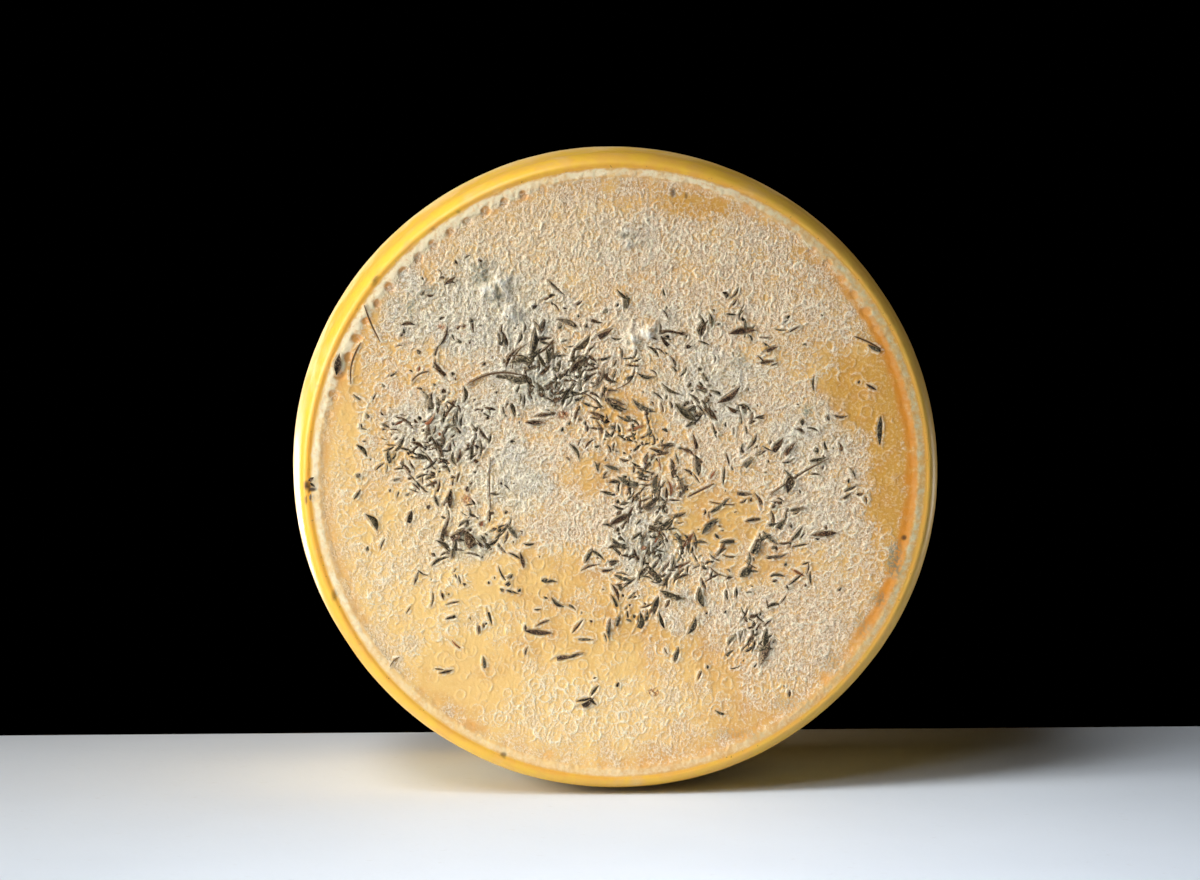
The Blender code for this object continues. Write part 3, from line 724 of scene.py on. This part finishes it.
def leaf_solid(leaf, draw, face, laid):
    """Points, faces and looks of one thin curled leaf that lies on the face and on leaves under it."""
    across, up, length, width, angle, bend = leaf
    twig = width < 0.1 * length
    slim = width < 0.75 and not twig
    rows, columns = (6, 3) if slim else (9, 5)
    start = 0.0 if twig else draw.choice((0.0, 0.0, 0.0, 0.2, 0.32))
    s = np.linspace(start, 1, rows)[:, None] * np.ones(columns)
    t = np.linspace(-1, 1, columns) * np.ones((rows, 1))
    fullest = np.clip(s, 0.015, 0.985) ** draw.uniform(0.75, 1.1)
    outline = np.sin(math.pi * fullest) ** (0.3 if twig else draw.uniform(0.85, 1.25))
    along = (s - 0.5) * length
    beside = t * width / 2 * outline + bend * length * np.sin(math.pi * s)
    x = across + along * math.cos(angle) - beside * math.sin(angle)
    y = up + along * math.sin(angle) + beside * math.cos(angle)
    curl = draw.uniform(-0.75, 0.75) * width / 2
    slope = draw.uniform(-0.35, 0.35) * width / 2
    lift = draw.uniform(0, 0.09) * length
    ripple = 0.07 * np.sin(s * draw.uniform(5, 9) + draw.uniform(0, 6))
    rest = float(sampled(laid, across, up))
    raised = (curl * np.abs(t) ** 1.6 + slope * t) * outline + lift * (s - 0.45) ** 2 * 2
    raised = raised + ripple - 0.1 * np.exp(-((t / 0.3) ** 2)) * outline
    raised = rest + raised - raised.min() + 0.07
    top = HALF_THICKNESS + sampled(face.ground, x, y) + raised
    thin = (LEAF_THICKNESS + 0.5 * width * twig) * (1 - 0.5 * np.abs(t) ** 3)
    count = rows * columns
    points = np.concatenate([placed(x, y, d, face.shown).reshape(-1, 3) for d in (top, top - thin)])
    grid = grid_faces(rows, columns)
    rim = [(0, j) for j in range(columns - 1)] + [(i, columns - 1) for i in range(rows - 1)]
    rim += [(rows - 1, j) for j in range(columns - 1, 0, -1)] + [(i, 0) for i in range(rows - 1, 0, -1)]
    ids = [i * columns + j for i, j in rim]
    walls = [(a, b, b + count, a + count) for a, b in zip(ids, ids[1:] + ids[:1])]
    faces = np.concatenate([grid[:, ::-1], grid + count, np.array(walls)])
    if face.shown:
        faces = faces[:, ::-1]
    cells, dx, dy = window(across, up, length / 2)
    near = np.exp(-(((dx * math.cos(angle) + dy * math.sin(angle)) / (0.4 * length)) ** 2))
    near *= np.exp(-(((dy * math.cos(angle) - dx * math.sin(angle)) / (0.4 * width)) ** 2))
    laid[cells] += 0.16 * near
    tint, dust = (0.9, 0.0) if twig else (0.85 * draw.random(), draw.random())
    if not twig and draw.random() < 0.008:
        tint = 1.0
    looks = [np.full(2 * count, value) for value in (tint, dust)]
    return points, faces, (*looks, np.tile(np.abs(t).ravel(), 2))


def leaves_piece(name, leaves, face, seed):
    draw = random.Random(seed)
    laid = np.zeros_like(ACROSS)
    solids = [leaf_solid(leaf, draw, face, laid) for leaf in leaves]
    starts = np.cumsum([0] + [len(points) for points, _, _ in solids])
    points = np.concatenate([solid[0] for solid in solids])
    faces = np.concatenate([solid[1] + start for solid, start in zip(solids, starts)])
    piece = add_mesh(name, points, faces)
    for k, look in enumerate(("tint", "dust", "edge_for_painted_highlight")):
        set_look(piece, look, np.concatenate([solid[2][k] for solid in solids]))
    return piece


# Materials

class Shader:
    """A short way to build a node material."""

    def __init__(self, name):
        self.material = bpy.data.materials.new(name)
        self.material.use_nodes = True
        self.tree = self.material.node_tree
        self.principled = self.tree.nodes["Principled BSDF"]

    def node(self, kind, settings=None, **inputs):
        made = self.tree.nodes.new("ShaderNode" + kind)
        for name, value in (settings or {}).items():
            setattr(made, name, value)
        for name, value in inputs.items():
            self.put(made, name.replace("_", " "), value)
        return made

    def put(self, node, name, value):
        socket = node.inputs[int(name)] if str(name).isdigit() else node.inputs[name]
        if isinstance(value, bpy.types.NodeSocket):
            self.tree.links.new(value, socket)
        else:
            socket.default_value = value

    def look(self, name):
        return self.node("Attribute", {"attribute_name": name}).outputs["Fac"]

    def place(self):
        return self.node("TexCoord").outputs["Object"]

    def noise(self, length, detail=3.0, roughness=0.55, distortion=0.0):
        """Noise from 0 to 1 with that wave length in millimetres."""
        made = self.node(
            "TexNoise", Vector=self.place(), Scale=1 / (length * MM), Detail=detail,
            Roughness=roughness, Distortion=distortion,
        )
        return made.outputs["Fac"]

    def math(self, operation, *values):
        made = self.node("Math", {"operation": operation})
        for i, value in enumerate(values):
            self.put(made, str(i), value)
        return made.outputs[0]

    def times(self, first, second):
        return self.math("MULTIPLY", first, second)

    def remap(self, value, low, high, out_low=0.0, out_high=1.0):
        made = self.node("MapRange", {"interpolation_type": "SMOOTHSTEP"})
        for i, number in enumerate((value, low, high, out_low, out_high)):
            self.put(made, str(i), number)
        return made.outputs[0]

    def mix(self, share, first, second):
        made = self.node("Mix", {"data_type": "RGBA"})
        self.put(made, "0", share)
        self.put(made, "6", first)
        self.put(made, "7", second)
        return made.outputs[2]

    def spread(self, value, strength):
        """Noise of 0 to 1 turned into a number round 0."""
        return self.times(self.math("SUBTRACT", value, 0.5), strength)

    def weighted(self, *shares):
        """The sum of some values, each times its weight; a weight with no value stands alone."""
        total = None
        for weight, value in shares:
            term = weight if value is None else self.times(value, weight)
            total = term if total is None else self.math("ADD", total, term)
        return total

    def bump(self, height, distance, strength=1.0, below=None):
        made = self.node("Bump", Height=height, Distance=distance, Strength=strength)
        if below is not None:
            self.put(made, "Normal", below)
        return made.outputs[0]


def hue(red, green, blue):
    """A colour from screen values of 0 to 255."""
    linear = [((c / 255 + 0.055) / 1.055) ** 2.4 if c > 10 else c / 3294.6 for c in (red, green, blue)]
    return (*linear, 1.0)


def rind_material():
    """Waxy golden rind with a dry bloom over it, ring prints, mould and stains, and painted light: a
    lighter lower left, a deeper yellow on the far left of the rim, painted shade on the right side and in
    the dips between knobs, and painted highlights round the leaves.
    """
    shade = Shader("pecorino_rind")
    radial = shade.look("radial")
    fine = shade.noise(0.5, 1.0)
    grains = shade.noise(0.95, 2.0, 0.6)
    middling = shade.noise(6, 3.0)
    broad = shade.noise(22, 2.0)
    worm = shade.weighted((0.5, None), (0.22, shade.look("worm")), (1.0, shade.spread(grains, 2.6)),
                          (1.0, shade.spread(fine, 2.2)))
    worm = shade.remap(worm, -0.1, 1.15)

    across = shade.node("SeparateXYZ", Vector=shade.place()).outputs[0]
    # right grows towards the right side of the wheel; the rim colours below use it to paint shade there
    painted_left_light, right = shade.remap(across, -0.055, -0.095), shade.remap(across, 0.01, 0.085)
    colour = shade.mix(shade.remap(broad, 0.35, 0.65), hue(236, 186, 104), hue(228, 174, 96))
    deep = shade.weighted((0.8, shade.look("deep")), (1.0, shade.spread(middling, 0.9)))
    colour = shade.mix(shade.remap(deep, 0.0, 0.9), colour, hue(220, 162, 66))
    colour = shade.mix(shade.remap(middling, 0.42, 0.7, 0, 0.5), colour, hue(220, 152, 74))
    colour = shade.mix(shade.remap(grains, 0.48, 0.66, 0, 0.5), colour, hue(244, 214, 158))
    # painted light: the lower left is lightened towards pale gold
    colour = shade.mix(shade.times(shade.look("painted_light"), 0.7), colour, hue(255, 208, 122))
    groove = shade.times(shade.look("groove"), 0.9)
    colour = shade.mix(groove, colour, hue(226, 142, 36))
    colour = shade.mix(shade.look("pits"), colour, hue(232, 160, 74))

    bared = shade.remap(shade.look("groove"), 0.1, 0.8, 1, 0)
    inner = shade.times(shade.remap(radial, 89.6, 90.6, 1, 0), bared)
    level = shade.weighted((0.4, None), (0.5, shade.look("pale")), (-0.85, shade.look("bare")),
                           (1.0, shade.spread(middling, 2.0)), (1.0, shade.spread(grains, 1.6)),
                           (1.0, shade.spread(fine, 1.2)))
    bloom = shade.times(shade.remap(level, -0.1, 1.0, 0, 0.92), inner)
    colour = shade.mix(bloom, colour, shade.mix(worm, hue(192, 157, 120), hue(253, 232, 200)))
    level = shade.math("ADD", shade.look("grey"), shade.spread(middling, 1.0))
    grey = shade.times(shade.remap(level, 0.0, 1.05), inner)
    dull = shade.mix(worm, hue(166, 154, 128), hue(242, 236, 218))
    colour = shade.mix(shade.times(grey, 0.8), colour, dull)
    # more painted light on the lower left, towards pale cream
    colour = shade.mix(shade.times(shade.look("painted_light"), 0.25), colour, hue(255, 220, 152))
    faint = shade.remap(shade.look("bare"), 0.1, 0.9, 1.0, 0.45)
    lines = shade.times(shade.remap(shade.look("prints"), 0.15, 0.7), faint)
    lines = shade.times(lines, shade.remap(fine, 0.35, 0.6, 0.5, 1.0))
    colour = shade.mix(lines, colour, hue(254, 242, 212))
    # painted highlight: a cream rim on the raised lip round each leaf
    painted_lip_highlight = shade.times(shade.look("painted_lip_highlight"), shade.remap(grains, 0.38, 0.58, 0.0, 0.8))
    colour = shade.mix(painted_lip_highlight, colour, hue(252, 240, 214))

    colour = shade.mix(shade.times(shade.look("knobs"), 0.8), colour, hue(246, 244, 230))
    # painted shade in the dips between the knobs
    colour = shade.mix(shade.times(shade.look("hollows"), 0.7), colour, hue(112, 110, 88))

    rim = shade.remap(radial, 92.7, 93.1)
    yellow = shade.mix(shade.remap(middling, 0.35, 0.65), hue(248, 198, 70), hue(244, 188, 80))
    # painted light: the far left of the rim, which faces the key light, gets a deeper yellow
    yellow = shade.mix(shade.times(painted_left_light, 0.6), yellow, hue(242, 176, 50))
    level = shade.weighted((1.0, shade.look("side")), (1.0, shade.spread(broad, 2.2)),
                           (1.0, shade.spread(middling, 1.6)))
    # painted shade: the rim on the right, near the face, turns dark olive
    painted_right_shade = shade.times(right, shade.remap(level, 0.2, 1.3, 0.7, 0.0))
    yellow = shade.mix(painted_right_shade, yellow, hue(198, 160, 76))
    specks = shade.times(shade.remap(grains, 0.66, 0.72), shade.remap(radial, 94.4, 93.4))
    inward = shade.remap(radial, 94.8, 93.4)
    notch = shade.times(inward, shade.remap(middling, 0.3, 0.6, 0.2, 0.6))
    yellow = shade.mix(notch, yellow, hue(244, 172, 66))
    yellow = shade.mix(shade.times(specks, 0.6), yellow, hue(120, 78, 24))
    colour = shade.mix(rim, colour, yellow)
    side = shade.times(shade.remap(level, 0.0, 1.2, 0, 0.85), rim)
    # the pale film is mostly left off where the right side has painted shade
    side = shade.times(side, shade.remap(painted_right_shade, 0, 0.6, 1, 0.15))
    colour = shade.mix(side, colour, hue(238, 208, 144))
    white = shade.times(shade.look("rim_bloom"), shade.remap(grains, 0.3, 0.5, 0.5, 0.98))
    # painted shade: the white bloom on the ridge is made duller and darker on the right side
    colour = shade.mix(white, colour, shade.mix(right, hue(255, 236, 196), hue(214, 202, 160)))

    blue = shade.times(shade.look("blue"), shade.remap(grains, 0.4, 0.6, 0.15, 0.8))
    colour = shade.mix(blue, colour, hue(112, 124, 104))
    rusty = shade.times(shade.look("rust"), shade.remap(grains, 0.35, 0.5))
    rust = shade.mix(shade.remap(fine, 0.4, 0.6), hue(92, 46, 20), hue(196, 122, 60))
    colour = shade.mix(rusty, colour, rust)
    colour = shade.mix(shade.times(shade.look("dark"), 0.95), colour, hue(52, 34, 18))
    shade.put(shade.principled, "Base Color", colour)

    dry = shade.math("MINIMUM", shade.weighted((1, bloom), (1, grey), (1, lines), (0.8, side)), 1.0)
    shade.put(shade.principled, "Roughness", shade.remap(dry, 0.0, 0.8, 0.42, 0.85))
    coarse = shade.remap(dry, 0, 0.7, 0.15, 0.9)
    tiny = shade.bump(fine, 0.3 * MM, coarse)
    shade.put(shade.principled, "Normal", shade.bump(grains, 0.45 * MM, coarse, tiny))
    shade.principled.inputs["Subsurface Weight"].default_value = 0.06
    shade.principled.inputs["Subsurface Radius"].default_value = (1.0, 0.55, 0.2)
    shade.principled.inputs["Subsurface Scale"].default_value = 0.002
    return shade.material


def leaf_material():
    """Dry leaf pieces from green-black to brown, some dusted with bloom, with a painted highlight along
    their edges.
    """
    shade = Shader("myrtle_leaf")
    tint = shade.look("tint")
    fine = shade.noise(0.5, 2.0)
    veins = shade.noise(1.4, 3.0)
    mottled = shade.remap(shade.weighted((0.6, fine), (0.4, veins)), 0.42, 0.62)
    green = shade.mix(mottled, hue(22, 18, 10), hue(112, 98, 68))
    brown = shade.mix(mottled, hue(30, 18, 9), hue(126, 88, 56))
    colour = shade.mix(shade.remap(tint, 0.3, 0.6), green, brown)
    colour = shade.mix(shade.remap(tint, 0.86, 0.88), colour, hue(100, 70, 46))
    colour = shade.mix(shade.remap(tint, 0.96, 0.98), colour, hue(146, 84, 46))
    # painted highlight: a pale band along the edges of each leaf
    edge = shade.remap(shade.look("edge_for_painted_highlight"), 0.76, 1.0, 0.0, 0.85)
    colour = shade.mix(edge, colour, hue(186, 164, 124))
    dust = shade.look("dust")
    crumbs = shade.times(shade.remap(fine, 0.55, 0.66), shade.remap(dust, 0, 1, 0.15, 0.8))
    colour = shade.mix(crumbs, colour, hue(196, 176, 138))
    dusty = shade.times(shade.remap(dust, 0.6, 1.0, 0.0, 0.5), shade.remap(veins, 0.4, 0.6))
    colour = shade.mix(dusty, colour, hue(160, 150, 124))
    shade.put(shade.principled, "Base Color", colour)
    shade.put(shade.principled, "Roughness", shade.remap(dusty, 0, 0.5, 0.5, 0.85))
    shade.principled.inputs["Specular IOR Level"].default_value = 0.3
    shade.put(shade.principled, "Normal", shade.bump(veins, 0.15 * MM, 0.6))
    return shade.material


def table_material():
    shade = Shader("pale_table")
    broad = shade.noise(90, 3.0)
    fine = shade.noise(4, 3.0)
    colour = shade.mix(broad, hue(212, 221, 232), hue(224, 233, 244))
    colour = shade.mix(shade.remap(fine, 0.62, 0.8, 0, 0.15), colour, hue(170, 166, 160))
    shade.put(shade.principled, "Base Color", colour)
    shade.put(shade.principled, "Roughness", 0.6)
    shade.put(shade.principled, "Normal", shade.bump(fine, 0.3 * MM, 0.3))
    return shade.material


# Stage

TABLE_BACK = 0.08
VIEW_DISTANCE = 1.0
VIEW_AZIMUTH = math.radians(-2.9)
VIEW_ELEVATION = math.radians(4.6)
FOCAL_PIXELS = 3163
FRAME = (1200, 880)
WHEEL_CENTRE_PIXEL = (612.5, 463.2)
SENSOR = 36.0


def add_table():
    mesh = bmesh.new()
    low, high = (-1.4, -1.6, -0.03), (1.4, TABLE_BACK, 0.0)
    bmesh.ops.create_cube(mesh, size=1)
    for vertex in mesh.verts:
        vertex.co = [l + (c + 0.5) * (h - l) for c, l, h in zip(vertex.co, low, high)]
    bmesh.ops.bevel(mesh, geom=mesh.edges[:], offset=0.002, segments=3, profile=0.5, affect="EDGES")
    data = bpy.data.meshes.new("table")
    mesh.to_mesh(data)
    mesh.free()
    table = bpy.data.objects.new("table", data)
    bpy.context.scene.collection.objects.link(table)
    data.materials.append(table_material())


def add_light(name, place, target, size, watts, spread, colour):
    data = bpy.data.lights.new(name, "AREA")
    data.shape = "RECTANGLE"
    data.size, data.size_y = size
    data.spread = math.radians(spread)
    data.energy = watts
    data.color = colour
    lamp = bpy.data.objects.new(name, data)
    lamp.location = place
    lamp.rotation_euler = (Vector(target) - Vector(place)).to_track_quat("-Z", "Y").to_euler()
    bpy.context.scene.collection.objects.link(lamp)


def add_camera():
    data = bpy.data.cameras.new("camera")
    data.sensor_width = SENSOR
    data.lens = FOCAL_PIXELS * SENSOR / FRAME[0]
    data.clip_start = 0.05
    camera = bpy.data.objects.new("camera", data)
    bpy.context.scene.collection.objects.link(camera)
    bpy.context.scene.camera = camera
    centre = Vector((0, 0, CENTRE_HEIGHT * MM))
    level = math.cos(VIEW_ELEVATION)
    right = Vector((math.cos(VIEW_AZIMUTH), math.sin(VIEW_AZIMUTH), 0))
    back = Vector((right.y * level, -right.x * level, math.sin(VIEW_ELEVATION)))
    above = back.cross(right)
    metres = VIEW_DISTANCE / FOCAL_PIXELS
    aim = centre - right * (WHEEL_CENTRE_PIXEL[0] - FRAME[0] / 2) * metres
    aim += above * (WHEEL_CENTRE_PIXEL[1] - FRAME[1] / 2) * metres
    camera.location = centre + back * VIEW_DISTANCE
    camera.rotation_euler = (aim - camera.location).to_track_quat("-Z", "Y").to_euler()


def add_stage():
    add_table()
    add_light("key", (-0.62, -0.27, 0.07), (0, -0.03, 0.08), (0.25, 0.25), 0.62, 100, (1.0, 0.975, 0.93))
    add_light("upper", (-0.75, -0.25, 0.35), (0, -0.03, 0.1), (0.25, 0.25), 0.9, 80, (1.0, 0.985, 0.95))
    add_light("above", (-0.35, -0.35, 0.85), (0, -0.12, 0.03), (0.3, 0.3), 0.5, 60, (1.0, 0.99, 0.97))
    add_light("table_left", (-0.5, -0.6, 0.8), (0.1, -0.29, 0), (0.3, 0.3), 0.34, 42, (0.97, 1.0, 1.04))
    add_light("table_front", (-0.25, -0.75, 0.6), (0, -0.34, 0), (0.25, 0.25), 0.26, 36, (0.97, 1.0, 1.04))
    add_light("rear", (-0.6, 1.1, -0.08), (0, 0.04, 0.1), (0.4, 0.2), 0.8, 50, (1.0, 0.95, 0.86))
    add_light("right", (1.1, 0.4, -0.06), (0, 0, 0.1), (0.3, 0.2), 0.26, 50, (1.0, 0.94, 0.84))
    world = bpy.data.worlds.new("dark")
    bpy.context.scene.world = world
    world.use_nodes = True
    world.node_tree.nodes["Background"].inputs["Color"].default_value = (0, 0, 0, 1)
    bpy.context.scene.view_settings.view_transform = "Standard"


def main():
    add_camera()
    add_stage()
    rind = rind_material()
    green = leaf_material()
    shown_leaves, hidden_leaves = front_leaves(), rear_leaves()
    front, back = Face(True, shown_leaves), Face(False, hidden_leaves)
    pieces = [(side_piece(front, back), rind, "rind")]
    for name, face, count in (("front_rind", front, FRONT_CELLS), ("back_rind", back, BACK_CELLS)):
        pieces += [(piece, rind, "rind") for piece in face_pieces(name, face, count)]
    for name, leaves, face, seed in (
        ("front_leaves", shown_leaves, front, 41), ("back_leaves", hidden_leaves, back, 43),
    ):
        pieces.append((leaves_piece(name, leaves, face, seed), green, "myrtle_leaf"))
    for piece, material, slot in pieces:
        piece.data.materials.append(material)
        piece.data.polygons.foreach_set("use_smooth", [True] * len(piece.data.polygons))
        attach(piece, "root")
        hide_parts(NODE)


main()
